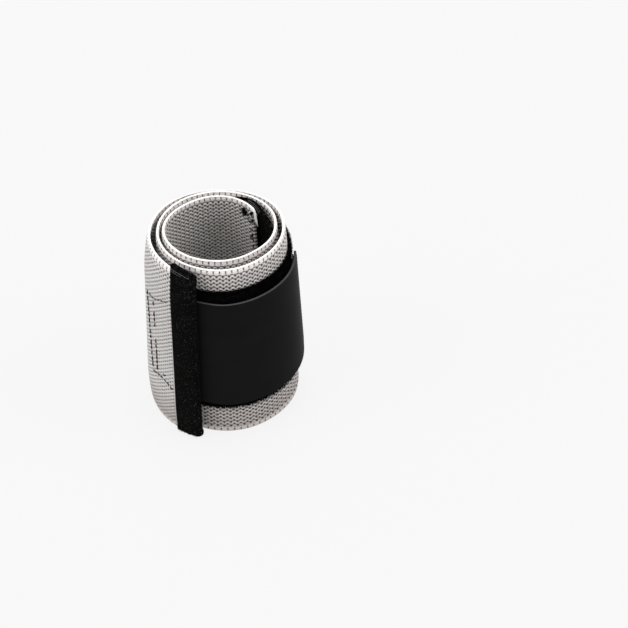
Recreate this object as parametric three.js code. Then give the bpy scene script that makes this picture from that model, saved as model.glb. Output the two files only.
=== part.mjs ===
// Wrist wrap for lifting, rolled up and standing on its edge.
// Millimetres, +Z up. The wrap is one long elastic band wound round an open hollow. Every piece
// is a flat strip bent along a path in plan, so each one follows the winding that it lies on.
// Angles are in degrees from +X, counted along the winding from the inner end outward.

import * as THREE from 'three';
import { mergeVertices } from 'three/addons/utils/BufferGeometryUtils.js';

// Elastic webbing
const webbingWidth = 80;
const webbingThickness = 1.5;
const hollowRadius = 21;
const innerEndAngle = 53;
const outerEndAngle = 967.3;
const layerGap = 0.35;
const baseFlare = 3.4;
const baseLean = 1.5;
const baseTuck = 1.1;
const rimStagger = 1;

// How the outer turn is lifted over the closure that lies under it
const liftBorder = 16;
const liftAtBase = 0.5;
const liftStart = 150;
const liftFull = 20;

// Air between two pieces that lie on each other
const pieceGap = 0.25;

// Loop pad: margins to the webbing's edges, how far it runs under the outer end, and how far past
// the tab's tip
const padThickness = 1;
const padTopMargin = 9.3;
const padBaseMargin = 13.7;
const padUnderlap = 27.5;
const padOverrun = 6.7;

// Closure tab, and the hook tape on its inner face, which begins a little past the outer end
const tabThickness = 1;
const tabLength = 102.8;
const tabTopMargin = 13.9;
const tabBaseMargin = 16.7;
const tabUnderlap = 26;
const tabTipWidth = 19.4;
const tabTipLength = 10.5;
const tabRootCorner = 5;
const hookThickness = 0.5;
const hookSetback = 11;
const hookMargin = 1.5;

// End binding
const bindingThickness = 0.9;
const bindingLeg = 8.5;
const bindingBaseMargin = 0.8;

// Thumb loop: its tape's width, and how much of that lies behind the webbing's inner end
const loopThickness = 1;
const loopWidth = 23;
const loopSeam = 5.9;
const loopLean = 1.4;
const loopTopMargin = 0.4;
const loopSag = 4.5;

// Meshing
const fullTurn = 360;
const bandStep = 7.5;
const walkStep = 1;
const webbingBands = 6;
const stripBands = 4;
const bindingSteps = 26;

// The winding, a row for every eighth of a turn.
// radius: the centre line, as a share of hollowRadius, before the layers beneath are added
// rim: how far the upper edge stands above webbingWidth, as a share of rimStagger
// tuck: how far the lower edge is drawn in, as a share of baseTuck
const windingRows = [
  { angle: 0, radius: 0.56, rim: -0.8, tuck: 0 },
  { angle: 45, radius: 0.835, rim: -1.3, tuck: 0 },
  { angle: 90, radius: 1.076, rim: -1, tuck: 0 },
  { angle: 135, radius: 1.053, rim: -0.1, tuck: 0 },
  { angle: 180, radius: 1.059, rim: 0.9, tuck: 0 },
  { angle: 225, radius: 0.988, rim: 1.4, tuck: 0 },
  { angle: 270, radius: 0.876, rim: 1.1, tuck: 0 },
  { angle: 315, radius: 0.767, rim: 0.2, tuck: 0 },
  { angle: 360, radius: 0.842, rim: -0.5, tuck: 0 },
  { angle: 405, radius: 1.006, rim: -0.3, tuck: 0 },
  { angle: 450, radius: 1.081, rim: 0, tuck: 0 },
  { angle: 495, radius: 1.106, rim: 0, tuck: 0 },
  { angle: 540, radius: 1.08, rim: 0, tuck: 0 },
  { angle: 585, radius: 1.037, rim: 0, tuck: 0 },
  { angle: 630, radius: 0.992, rim: 0, tuck: 0 },
  { angle: 675, radius: 0.897, rim: 0, tuck: 0 },
  { angle: 720, radius: 0.92, rim: 0, tuck: 0 },
  { angle: 765, radius: 1.034, rim: -0.3, tuck: 0 },
  { angle: 810, radius: 1.086, rim: -0.8, tuck: 0 },
  { angle: 855, radius: 1.15, rim: -0.9, tuck: 0.25 },
  { angle: 900, radius: 1.134, rim: -0.9, tuck: 1 },
  { angle: 945, radius: 1.126, rim: -0.9, tuck: 0.4 },
  { angle: 990, radius: 1.234, rim: -0.9, tuck: 1.6 },
];
const lastRowAngle = windingRows[windingRows.length - 1].angle;

const windingCurve = new THREE.CatmullRomCurve3(
  windingRows.map((row) => new THREE.Vector3(row.radius, row.rim, row.tuck)),
  false,
  'catmullrom',
  0.5,
);

function windingAt(angle) {
  const { x, y, z } = windingCurve.getPoint(THREE.MathUtils.clamp(angle / lastRowAngle, 0, 1));
  return { radius: x, rim: y, tuck: z };
}

// Centre line of the winding at its edges, where nothing lifts it
function rimRadius(angle) {
  const layers = (webbingThickness + layerGap) * (angle / fullTurn);
  return hollowRadius * windingAt(angle).radius + layers;
}

function rimHeight(angle) {
  return webbingWidth + rimStagger * windingAt(angle).rim;
}

// Angle spanned by a length of the winding that starts at an angle
function spanOf(length, angle) {
  return THREE.MathUtils.radToDeg(length / rimRadius(angle));
}

// Where the pieces begin and end along the winding
const turnBelowEnd = outerEndAngle - fullTurn;
const padStartAngle = turnBelowEnd - spanOf(padUnderlap, turnBelowEnd);
const tabStartAngle = turnBelowEnd - spanOf(tabUnderlap, turnBelowEnd);
const loopSeamAngle = innerEndAngle + spanOf(loopSeam, innerEndAngle + fullTurn);
const loopFreeAngle = loopSeamAngle - spanOf(loopWidth, innerEndAngle + fullTurn);

// The outer turn passes over the pad, the tab's root and the binding's inner leg
const closureStack = padThickness + tabThickness + bindingThickness + 4 * pieceGap;

// The lift over the closure is full across the middle. It fades out at the upper edge, and to
// liftAtBase at the lower one.
function liftShare(height) {
  const inset = Math.min(height, webbingWidth - height) / liftBorder;
  const share = THREE.MathUtils.clamp(inset, 0, 1);
  const atEdge = height < webbingWidth / 2 ? liftAtBase : 0;
  return 1 - (1 - atEdge) * (1 - share) ** 2;
}

function centreRadius(angle, height) {
  const towardBase = 1 - height / webbingWidth;
  const own = rimRadius(angle) - baseTuck * windingAt(angle).tuck * towardBase;
  if (angle < loopSeamAngle) {
    const room = webbingThickness + loopThickness + 2 * layerGap;
    return Math.min(own, rimRadius(angle + fullTurn) - room);
  }
  const cover = 1 - THREE.MathUtils.smoothstep(outerEndAngle - angle, liftFull, liftStart);
  const lifted = rimRadius(angle - fullTurn) + webbingThickness + closureStack;
  return own + cover * liftShare(height) * Math.max(lifted - own, 0);
}

// A point of the winding in plan, moved out from its centre line by offset
function windingPoint(angle, height, offset) {
  const towardBase = 1 - height / webbingWidth;
  const radius = centreRadius(angle, height) + offset + baseFlare * towardBase;
  const turn = THREE.MathUtils.degToRad(angle);
  return new THREE.Vector2(
    radius * Math.cos(turn) + baseLean * towardBase,
    radius * Math.sin(turn),
  );
}

function alongWinding(startAngle, endAngle, offsetAt) {
  return (share, height) => {
    const angle = THREE.MathUtils.lerp(startAngle, endAngle, share);
    return windingPoint(angle, height, offsetAt(angle));
  };
}

// The angle that is reached by laying a length along the winding at mid height
function angleAfter(startAngle, length, offsetAt) {
  const height = webbingWidth / 2;
  let angle = startAngle;
  let laid = 0;
  while (laid < length) {
    const here = windingPoint(angle, height, offsetAt(angle));
    const next = angle + walkStep;
    laid += here.distanceTo(windingPoint(next, height, offsetAt(next)));
    angle += walkStep;
  }
  return angle - spanOf(laid - length, angle);
}

function stepsBetween(startAngle, endAngle) {
  return Math.ceil((endAngle - startAngle) / bandStep);
}

// A flat strip bent along a path in plan. low and high give its edges along the path.
function bentStrip({ path, low, high, thickness, steps, bands }) {
  const geometry = new THREE.BoxGeometry(1, 1, 1, steps, bands, 1);
  const quarterStep = 0.25 / steps;
  const position = geometry.attributes.position;
  for (let index = 0; index < position.count; index += 1) {
    const share = position.getX(index) + 0.5;
    const height = THREE.MathUtils.lerp(low(share), high(share), position.getY(index) + 0.5);
    const centre = path(share, height);
    const before = path(Math.max(share - quarterStep, 0), height);
    const after = path(Math.min(share + quarterStep, 1), height);
    const along = after.sub(before).normalize();
    const out = position.getZ(index) * thickness;
    position.setXYZ(index, centre.x + along.y * out, centre.y - along.x * out, height);
  }
  geometry.deleteAttribute('normal');
  geometry.deleteAttribute('uv');
  const welded = mergeVertices(geometry);
  welded.computeVertexNormals();
  return welded;
}

const group = new THREE.Group();

function addPiece(name, color, roughness, geometry) {
  const material = new THREE.MeshStandardMaterial({ color, roughness, metalness: 0 });
  const mesh = new THREE.Mesh(geometry, material);
  mesh.name = name;
  group.add(mesh);
}

// Elastic webbing: the band that goes round the wrist, standing on its lower edge
function elasticWebbing() {
  return bentStrip({
    path: alongWinding(innerEndAngle, outerEndAngle, () => 0),
    low: () => 0,
    high: (share) => rimHeight(THREE.MathUtils.lerp(innerEndAngle, outerEndAngle, share)),
    thickness: webbingThickness,
    steps: stepsBetween(innerEndAngle, outerEndAngle),
    bands: webbingBands,
  });
}

// What lies on the second turn, from its outer face outward: pad, hook tape, tab
const padOffset = webbingThickness / 2 + pieceGap + padThickness / 2;
const hookOffset = padOffset + padThickness / 2 + pieceGap + hookThickness / 2;
const tabOffset = hookOffset + hookThickness / 2 + pieceGap + tabThickness / 2;
const tabRootOffset = padOffset + padThickness / 2 + pieceGap + tabThickness / 2;

// The binding's fold reaches past the outer end. Beyond it the tab rises over the hook tape.
const foldRadius = webbingThickness / 2 + pieceGap + bindingThickness / 2;
const foldReach = foldRadius + bindingThickness / 2 + pieceGap;
const tabRiseAngle = turnBelowEnd + spanOf(foldReach, turnBelowEnd);
const hookStartAngle = turnBelowEnd + spanOf(hookSetback, turnBelowEnd);

function tabOffsetAt(angle) {
  const risen = THREE.MathUtils.smoothstep(angle, tabRiseAngle, hookStartAngle);
  return THREE.MathUtils.lerp(tabRootOffset, tabOffset, risen);
}

const tabEndAngle = angleAfter(tabStartAngle, tabLength, tabOffsetAt);
const hookEndAngle = tabEndAngle - spanOf(hookMargin, tabEndAngle);
const padEndAngle = angleAfter(tabEndAngle, padOverrun, () => padOffset);

// Loop pad: brushed fleece sewn to the webbing, running on past the tab's tip
function loopPad() {
  return bentStrip({
    path: alongWinding(padStartAngle, padEndAngle, () => padOffset),
    low: () => padBaseMargin,
    high: () => webbingWidth - padTopMargin,
    thickness: padThickness,
    steps: stepsBetween(padStartAngle, padEndAngle),
    bands: stripBands,
  });
}

// How far the tab's outline is cut in at a distance from its root, the same on both edges
function tabCut(distance) {
  const tabWidth = webbingWidth - tabTopMargin - tabBaseMargin;
  const tipShare = Math.max(1 - (tabLength - distance) / tabTipLength, 0);
  const tipCut = ((tabWidth - tabTipWidth) / 2) * tipShare;
  return Math.max(tipCut, tabRootCorner - distance, 0);
}

// A strip with the tab's outline between two angles, drawn in from it by margin
function tabStrip({ startAngle, endAngle, margin, offsetAt, thickness }) {
  const inset = (share) => {
    const angle = THREE.MathUtils.lerp(startAngle, endAngle, share);
    const distance = THREE.MathUtils.mapLinear(angle, tabStartAngle, tabEndAngle, 0, tabLength);
    return margin + tabCut(distance);
  };
  return bentStrip({
    path: alongWinding(startAngle, endAngle, offsetAt),
    low: (share) => tabBaseMargin + inset(share),
    high: (share) => webbingWidth - tabTopMargin - inset(share),
    thickness,
    steps: stepsBetween(startAngle, endAngle),
    bands: stripBands,
  });
}

// Closure tab: smooth skin that closes the wrap. Its root is sewn under the outer end.
function closureTab() {
  return tabStrip({
    startAngle: tabStartAngle,
    endAngle: tabEndAngle,
    margin: 0,
    offsetAt: tabOffsetAt,
    thickness: tabThickness,
  });
}

// Hook tape: the tab's gripping layer, which holds on the pad
function hookTape() {
  return tabStrip({
    startAngle: hookStartAngle,
    endAngle: hookEndAngle,
    margin: hookMargin,
    offsetAt: () => hookOffset,
    thickness: hookThickness,
  });
}

// End binding: woven tape folded round the outer end of the webbing, a leg on each face
function endBinding() {
  const foldLength = Math.PI * foldRadius;
  const tapeLength = 2 * bindingLeg + foldLength;
  const path = (share, height) => {
    const flare = baseFlare * (1 - height / webbingWidth);
    const radius = centreRadius(outerEndAngle, height) + flare;
    const legSpan = THREE.MathUtils.radToDeg(bindingLeg / radius);
    const distance = share * tapeLength;
    const onOuterLeg = distance / bindingLeg;
    const onInnerLeg = (distance - bindingLeg - foldLength) / bindingLeg;
    if (onOuterLeg < 1) {
      return windingPoint(outerEndAngle - legSpan * (1 - onOuterLeg), height, foldRadius);
    }
    if (onInnerLeg > 0) {
      return windingPoint(outerEndAngle - legSpan * onInnerLeg, height, -foldRadius);
    }
    const bend = (distance - bindingLeg) / foldRadius;
    const end = windingPoint(outerEndAngle, height, foldRadius * Math.cos(bend));
    const turn = THREE.MathUtils.degToRad(outerEndAngle);
    const reach = foldRadius * Math.sin(bend);
    return new THREE.Vector2(end.x - Math.sin(turn) * reach, end.y + Math.cos(turn) * reach);
  };
  return bentStrip({
    path,
    low: () => bindingBaseMargin,
    high: () => rimHeight(outerEndAngle),
    thickness: bindingThickness,
    steps: bindingSteps,
    bands: webbingBands,
  });
}

// Thumb loop: elastic tape sewn behind the inner end, its free side leaning into the hollow
function thumbLoop() {
  const clearance = webbingThickness / 2 + layerGap + loopThickness / 2;
  const path = (share, height) => {
    const angle = THREE.MathUtils.lerp(loopFreeAngle, loopSeamAngle, share) + fullTurn;
    const lean = loopLean * Math.sin(Math.PI * share) ** 2;
    return windingPoint(angle, height, -clearance - lean);
  };
  return bentStrip({
    path,
    low: () => 0,
    high: (share) => webbingWidth - loopTopMargin - loopSag * (1 - share) ** 2,
    thickness: loopThickness,
    steps: stepsBetween(loopFreeAngle, loopSeamAngle),
    bands: stripBands,
  });
}

addPiece('elastic_webbing', 0xdedad6, 0.9, elasticWebbing());
addPiece('loop_pad', 0x0a0a0b, 1, loopPad());
addPiece('hook_tape', 0x141414, 0.8, hookTape());
addPiece('closure_tab', 0x222223, 0.6, closureTab());
addPiece('end_binding', 0x0c0c0c, 0.95, endBinding());
addPiece('thumb_loop', 0x0d0d0d, 0.95, thumbLoop());

// The origin is under the middle of the roll, on the surface that it stands on
const bounds = new THREE.Box3().setFromObject(group);
const middle = bounds.getCenter(new THREE.Vector3());
group.position.set(-middle.x, -middle.y, -bounds.min.z);

export default group;
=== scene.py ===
# %% [markdown]
# This is a wrist wrap for lifting, rolled up and standing on its edge. The real one is a long
# woven elastic band with a fleece pad, a closure tab, a folded end tape and a thumb loop.
# The frame holds these as plain solids. Each of them is dressed here with a cloth of its own.
# The frame is loaded first, because every piece takes its place from it.

# %% Load the frame
import math

import bpy
import numpy as np
from mathutils import Euler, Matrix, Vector


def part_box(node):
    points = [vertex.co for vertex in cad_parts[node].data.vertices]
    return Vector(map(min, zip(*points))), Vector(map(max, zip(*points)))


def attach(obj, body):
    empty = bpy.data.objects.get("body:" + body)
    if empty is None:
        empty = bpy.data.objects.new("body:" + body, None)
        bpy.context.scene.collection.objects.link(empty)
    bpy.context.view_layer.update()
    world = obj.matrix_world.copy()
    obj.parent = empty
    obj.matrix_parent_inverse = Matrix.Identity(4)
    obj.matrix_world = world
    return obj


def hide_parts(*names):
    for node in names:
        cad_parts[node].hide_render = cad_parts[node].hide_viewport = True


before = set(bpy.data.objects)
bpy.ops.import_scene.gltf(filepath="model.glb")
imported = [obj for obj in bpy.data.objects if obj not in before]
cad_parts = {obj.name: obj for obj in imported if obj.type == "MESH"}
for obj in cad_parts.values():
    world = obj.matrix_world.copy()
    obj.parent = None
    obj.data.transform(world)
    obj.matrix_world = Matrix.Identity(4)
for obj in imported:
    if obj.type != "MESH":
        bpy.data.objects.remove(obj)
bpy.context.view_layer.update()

MM = 0.001
print("solids in the frame:", sorted(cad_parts))

# %% [markdown]
# Everything on the wrap follows one winding: the line that the band takes in plan, given by the
# angle along it. A spiral formula would be too regular, because soft webbing sags between its
# layers. So the line is a smooth curve through a short table of radii, a row for every eighth of
# a turn, and each turn adds the thickness of the layers beneath it. Sizes are in millimetres.

# %% Sizes of the band and its winding
WEBBING_WIDTH = 80
WEBBING_THICKNESS = 1.5
HOLLOW_RADIUS = 21
INNER_END = 53
OUTER_END = 967.3
TURN = 360
LAYER_GAP = 0.35
PIECE_GAP = 0.25
BASE_FLARE = 3.4
BASE_LEAN = 1.5
BASE_TUCK = 1.1
RIM_STAGGER = 1
LIFT_BORDER = 16
LIFT_AT_BASE = 0.5
LIFT_START = 150
LIFT_FULL = 20

# Columns: angle; radius as a share of HOLLOW_RADIUS; rim above WEBBING_WIDTH as a share of
# RIM_STAGGER; tuck, how far the lower edge is drawn in, as a share of BASE_TUCK
WINDING = np.array([
    (0, 0.56, -0.8, 0), (45, 0.835, -1.3, 0), (90, 1.076, -1, 0), (135, 1.053, -0.1, 0),
    (180, 1.059, 0.9, 0), (225, 0.988, 1.4, 0), (270, 0.876, 1.1, 0), (315, 0.767, 0.2, 0),
    (360, 0.842, -0.5, 0), (405, 1.006, -0.3, 0), (450, 1.081, 0, 0), (495, 1.106, 0, 0),
    (540, 1.08, 0, 0), (585, 1.037, 0, 0), (630, 0.992, 0, 0), (675, 0.897, 0, 0),
    (720, 0.92, 0, 0), (765, 1.034, -0.3, 0), (810, 1.086, -0.8, 0), (855, 1.15, -0.9, 0.25),
    (900, 1.134, -0.9, 1), (945, 1.126, -0.9, 0.4), (990, 1.234, -0.9, 1.6),
])


def smoothstep(value, low, high):
    share = np.clip((value - low) / (high - low), 0, 1)
    return share * share * (3 - 2 * share)


def winding_at(angle):
    """The winding's radius, rim and tuck shares: a smooth curve through the table's rows."""
    rows = WINDING[:, 1:]
    ends = np.vstack([2 * rows[0] - rows[1], rows, 2 * rows[-1] - rows[-2]])
    place = np.clip(angle / WINDING[-1, 0], 0, 1) * (len(rows) - 1)
    index = np.minimum(place.astype(int), len(rows) - 2)
    share = (place - index)[..., None]
    before, start, end, after = (ends[index + step] for step in range(4))
    slope_in = (end - before) / 2
    slope_out = (after - start) / 2
    cubic = 2 * start - 2 * end + slope_in + slope_out
    square = -3 * start + 3 * end - 2 * slope_in - slope_out
    point = cubic * share**3 + square * share**2 + slope_in * share + start
    return np.moveaxis(point, -1, 0)


def rim_radius(angle):
    angle = np.asarray(angle, float)
    layers = (WEBBING_THICKNESS + LAYER_GAP) * angle / TURN
    return HOLLOW_RADIUS * winding_at(angle)[0] + layers


def rim_height(angle):
    return WEBBING_WIDTH + RIM_STAGGER * winding_at(np.asarray(angle, float))[1]


def span_of(length, angle):
    return math.degrees(length / float(rim_radius(angle)))


print("inner end stands", round(float(rim_radius(INNER_END)), 1), "mm from the middle")

# %% [markdown]
# The other pieces lie on the winding at known depths, so their sizes are needed next. The outer
# turn passes over the pad, the tab's root and a leg of the end tape, and bulges there.

# %% Sizes of the other pieces
PAD_THICKNESS = 1
PAD_TOP_MARGIN = 9.3
PAD_BASE_MARGIN = 13.7
PAD_UNDERLAP = 27.5
PAD_OVERRUN = 6.7
TAB_THICKNESS = 1
TAB_LENGTH = 102.8
TAB_TOP_MARGIN = 13.9
TAB_BASE_MARGIN = 16.7
TAB_UNDERLAP = 26
TAB_TIP_WIDTH = 19.4
TAB_TIP_LENGTH = 10.5
TAB_ROOT_CORNER = 5
HOOK_THICKNESS = 0.5
HOOK_SETBACK = 11
HOOK_MARGIN = 1.5
BINDING_THICKNESS = 0.9
BINDING_LEG = 8.5
BINDING_BASE_MARGIN = 0.8
LOOP_THICKNESS = 1
LOOP_WIDTH = 23
LOOP_SEAM = 5.9
LOOP_LEAN = 1.4
LOOP_TOP_MARGIN = 0.4
LOOP_SAG = 4.5

turn_below_end = OUTER_END - TURN
pad_start = turn_below_end - span_of(PAD_UNDERLAP, turn_below_end)
tab_start = turn_below_end - span_of(TAB_UNDERLAP, turn_below_end)
loop_seam = INNER_END + span_of(LOOP_SEAM, INNER_END + TURN)
loop_free = loop_seam - span_of(LOOP_WIDTH, INNER_END + TURN)
closure_stack = PAD_THICKNESS + TAB_THICKNESS + BINDING_THICKNESS + 4 * PIECE_GAP


def lift_share(height):
    share = np.clip(np.minimum(height, WEBBING_WIDTH - height) / LIFT_BORDER, 0, 1)
    at_edge = np.where(height < WEBBING_WIDTH / 2, LIFT_AT_BASE, 0)
    return 1 - (1 - at_edge) * (1 - share) ** 2


def centre_radius(angle, height):
    toward_base = 1 - height / WEBBING_WIDTH
    own = rim_radius(angle) - BASE_TUCK * winding_at(angle)[2] * toward_base
    room = WEBBING_THICKNESS + LOOP_THICKNESS + 2 * LAYER_GAP
    curled = np.minimum(own, rim_radius(angle + TURN) - room)
    cover = 1 - smoothstep(OUTER_END - angle, LIFT_FULL, LIFT_START)
    lifted = rim_radius(angle - TURN) + WEBBING_THICKNESS + closure_stack
    raised = own + cover * lift_share(height) * np.maximum(lifted - own, 0)
    return np.where(angle < loop_seam, curled, raised)


def winding_point(angle, height, offset):
    """Points of the winding in plan, moved out from its centre line by offset."""
    angle, height = np.broadcast_arrays(np.asarray(angle, float), np.asarray(height, float))
    toward_base = 1 - height / WEBBING_WIDTH
    radius = centre_radius(angle, height) + offset + BASE_FLARE * toward_base
    turn = np.radians(angle)
    x = radius * np.cos(turn) + BASE_LEAN * toward_base
    return np.stack([x, radius * np.sin(turn)], axis=-1)


print("tab root at", round(tab_start), "degrees, seam of the loop at", round(loop_seam))

# %% [markdown]
# A strip is bent along a path in plan, and its thickness is laid off at right angles to the path.
# The frame's origin lies under the middle of the roll, so the winding is moved until its box sits
# on the webbing's box there. Lengths along the band are found by walking it in small steps.

# %% Bend strips along paths
ORIGIN = np.zeros(3)
SLOPE_STEP = 0.001


def bend(path, share, height, out):
    """Points that stand out from a path by some millimetres, at a share of its length."""
    share, height, out = np.broadcast_arrays(share, height, out)
    after = path(np.minimum(share + SLOPE_STEP, 1), height)
    before = path(np.maximum(share - SLOPE_STEP, 0), height)
    along = after - before
    along = along / np.linalg.norm(along, axis=-1, keepdims=True)
    centre = path(share, height)
    x = centre[..., 0] + along[..., 1] * out
    y = centre[..., 1] - along[..., 0] * out
    return np.stack([x, y, height], axis=-1) + ORIGIN


def along_winding(start, end, offset_at=np.zeros_like):
    """A path between two angles. offset_at gives how far out it lies at an angle."""
    def path(share, height):
        angle = start + (end - start) * share
        return winding_point(angle, height, offset_at(angle))
    return path


def walk(start, end, offset_at=np.zeros_like):
    """Angles along the winding, and the length laid up to each of them at mid height."""
    angles = np.linspace(start, end, int((end - start) * 4))
    points = winding_point(angles, WEBBING_WIDTH / 2, offset_at(angles))
    steps = np.linalg.norm(np.diff(points, axis=0), axis=1)
    return angles, np.concatenate([[0], np.cumsum(steps)])


def length_of(start, end, offset_at=np.zeros_like):
    return float(walk(start, end, offset_at)[1][-1])


band_path = along_winding(INNER_END, OUTER_END)
shares, heights = np.meshgrid(np.linspace(0, 1, 941), [0, WEBBING_WIDTH / 2, WEBBING_WIDTH])
faces_out = [bend(band_path, shares, heights, side * WEBBING_THICKNESS / 2) for side in (-1, 1)]
own_points = np.concatenate([face.reshape(-1, 3) for face in faces_out])
low, high = (np.array(corner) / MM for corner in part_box("elastic_webbing"))
ORIGIN[:2] = ((low + high) / 2 - (own_points.min(0) + own_points.max(0)) / 2)[:2]

band_angles, band_lengths = walk(INNER_END, OUTER_END)
BAND_LENGTH = band_lengths[-1]
print("band is", round(BAND_LENGTH, 1), "mm long and is moved by", ORIGIN.round(2), "mm")

# %% [markdown]
# Meshes come from grids of points, so a few helpers turn them into objects. A strip is closed like
# a flat pillow: a grid for each face, joined along the outline, and thinner toward it so that the
# border is round. The position on the cloth is kept on each point in millimetres, and the
# materials draw their weave from it. That needs no unwrapping and keeps the real scale.

# %% Make objects from grids
def dress(piece, material, node=None):
    """Gives a piece its material and, in the frame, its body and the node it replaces."""
    piece.data.materials.append(material)
    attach(piece, "root")
    if node:
        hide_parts(node)


def put_in_scene(name, data):
    made = bpy.data.objects.new(name, data)
    bpy.context.collection.objects.link(made)
    return made


def make_object(name, points, faces, cloth=None):
    mesh = bpy.data.meshes.new(name)
    mesh.from_pydata((np.asarray(points) * MM).tolist(), [], faces)
    mesh.shade_smooth()
    if cloth is not None:
        mark = mesh.attributes.new("cloth", "FLOAT_VECTOR", "POINT")
        mark.data.foreach_set("vector", np.asarray(cloth, dtype=np.float32).ravel())
    return put_in_scene(name, mesh)


def grid_faces(index, flip=False):
    """Quads between the points of a grid of indices."""
    corners = [index[:-1, :-1], index[1:, :-1], index[1:, 1:], index[:-1, 1:]]
    if flip:
        corners.reverse()
    return np.stack(corners, axis=-1).reshape(-1, 4).tolist()


def graded(length, step, border=(0, 0.06, 0.16, 0.3, 0.5)):
    """Shares of a length in even steps, and finer along its two borders."""
    inside = np.linspace(2 * border[-1], length - 2 * border[-1], max(int(length / step), 2))
    low_border = np.array(border)
    return np.concatenate([low_border, inside, (length - low_border)[::-1]]) / length


def steady(value):
    """A border's height or a path's offset that is the same all along."""
    return lambda place: value + 0 * place


def pillow(name, path, length, low, high, thickness, step, rounding=0.3, relief=None):
    """A closed strip along a path, between the heights low and high, with round borders.

    relief gives how far its outer face is raised at a place on the cloth.
    """
    width = float(high(np.array(0.5)) - low(np.array(0.5)))
    share, across = np.meshgrid(graded(length, step), graded(width, step), indexing="ij")
    low_edge = low(share)
    height = low_edge + (high(share) - low_edge) * across
    edge = np.minimum(height - low_edge, high(share) - height)
    edge = np.minimum(edge, np.minimum(share, 1 - share) * length)
    fullness = np.sqrt(1 - (1 - np.clip(edge / rounding, 0, 1)) ** 2)
    raised = relief(share * length, height, edge) if relief else 0
    outer = bend(path, share, height, (thickness / 2 + raised) * fullness)
    inner = bend(path, share, height, -thickness / 2 * fullness)
    outer_index = np.arange(share.size).reshape(share.shape)
    inner_index = outer_index.copy()
    inside = inner_index[1:-1, 1:-1]
    inside[:] = share.size + np.arange(inside.size).reshape(inside.shape)
    points = np.concatenate([outer.reshape(-1, 3), inner[1:-1, 1:-1].reshape(-1, 3)])
    cloth = np.stack([share * length, height, edge], axis=-1)
    marks = np.concatenate([cloth.reshape(-1, 3), cloth[1:-1, 1:-1].reshape(-1, 3)])
    faces = grid_faces(outer_index) + grid_faces(inner_index, flip=True)
    print(name, "has", 2 * len(faces), "triangles")
    return make_object(name, points, faces, marks)


# %% [markdown]
# Threads, frayed yarns and fuzz are thin round strands. They are all swept at once: every strand
# is a row of points, and each point gets a ring round it. A ring that shrinks to almost nothing
# makes a tapered tip. Sweeping many in one array keeps thousands of them quick to build.

# %% Sweep strands
def strands(name, paths, radii, sides):
    """Many tapered tubes in one. paths is (tubes, points, 3) and radii is (tubes, points)."""
    tangents = np.gradient(paths, axis=1)
    tangents /= np.linalg.norm(tangents, axis=-1, keepdims=True) + 1e-9
    helper = np.where(np.abs(tangents[..., 2:]) < 0.8, [0.0, 0.0, 1.0], [1.0, 0.0, 0.0])
    across = np.cross(tangents, helper)
    across /= np.linalg.norm(across, axis=-1, keepdims=True)
    upward = np.cross(across, tangents)
    turn = (np.arange(sides) * 2 * np.pi / sides)[:, None]
    ring = across[:, :, None] * np.cos(turn) + upward[:, :, None] * np.sin(turn)
    points = paths[:, :, None] + ring * radii[:, :, None, None]
    tubes, steps = radii.shape
    index = np.arange(tubes * steps * sides).reshape(tubes, steps, sides)
    near, far = index[:, :-1], index[:, 1:]
    around = [near, np.roll(near, -1, axis=2), np.roll(far, -1, axis=2), far]
    faces = np.stack(around, axis=-1).reshape(-1, 4).tolist()
    faces += index[:, 0, ::-1].tolist() + index[:, -1].tolist()
    print(name, "has", tubes, "strands and", tubes * (steps * sides * 2 - 4), "triangles")
    return make_object(name, points.reshape(-1, 3), faces)


# %% [markdown]
# The camera stands where the photograph's camera stood: a long lens, about 87 cm away, looking
# down at 40 degrees. The middle of the roll isn't in the middle of the picture, so the camera is
# moved sideways and upward in its own plane until that point falls where the picture has it.

# %% Camera
IMAGE_SIZE = 628
FOCAL_PIXELS = 2200
LOOK_DOWN = math.radians(40.44)
CAMERA_DISTANCE = 874.15
ROLL_MIDDLE_PIXEL = (226.11, 309.47)

camera_data = bpy.data.cameras.new("camera")
camera_data.sensor_width = 36
camera_data.lens = camera_data.sensor_width * FOCAL_PIXELS / IMAGE_SIZE
camera = put_in_scene("camera", camera_data)
bpy.context.scene.camera = camera
camera.rotation_euler = Euler((math.pi / 2 - LOOK_DOWN, 0, 0))
aside, lifted = (
    (pixel - IMAGE_SIZE / 2) / FOCAL_PIXELS * CAMERA_DISTANCE for pixel in ROLL_MIDDLE_PIXEL
)
forward = Vector((0, math.cos(LOOK_DOWN), -math.sin(LOOK_DOWN)))
upward = Vector((0, math.sin(LOOK_DOWN), math.cos(LOOK_DOWN)))
middle = Vector((ORIGIN[0], ORIGIN[1], WEBBING_WIDTH / 2))
place = middle - aside * Vector((1, 0, 0)) + lifted * upward - CAMERA_DISTANCE * forward
camera.location = place * MM
print("camera stands at", [round(value) for value in place], "mm")

# %% [markdown]
# The floor is a white table that is lit from below, as for goods pictures: it glows, so that only
# a faint contact shadow is left. Above it are a lamp overhead, a weaker one on each side, and a
# bright room all round. The lamps are suns drawn wide, which light the whole floor evenly.
# The picture is shown without a film look, so that the colours given here are the ones seen.

# %% Floor and light
def linear(code):
    """The linear colour of an sRGB hex value such as d9d6d3, and a fourth number for opaque."""
    parts = [int(code[place:place + 2], 16) / 255 for place in (0, 2, 4)]
    parts = [part / 12.92 if part <= 0.04045 else ((part + 0.055) / 1.055) ** 2.4 for part in parts]
    return [*parts, 1]


def add(tree, kind, links=None, **settings):
    """Adds one node. links gives its inputs, each a value or another node's output."""
    node = tree.nodes.new("ShaderNode" + kind)
    for name, value in settings.items():
        setattr(node, name, value)
    for place, value in (links or {}).items():
        if isinstance(value, bpy.types.NodeSocket):
            tree.links.new(value, node.inputs[place])
        else:
            node.inputs[place].default_value = value
    if settings.get("data_type") == "RGBA":
        return node.outputs[2]
    return node.outputs[0] if node.outputs else None


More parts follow.
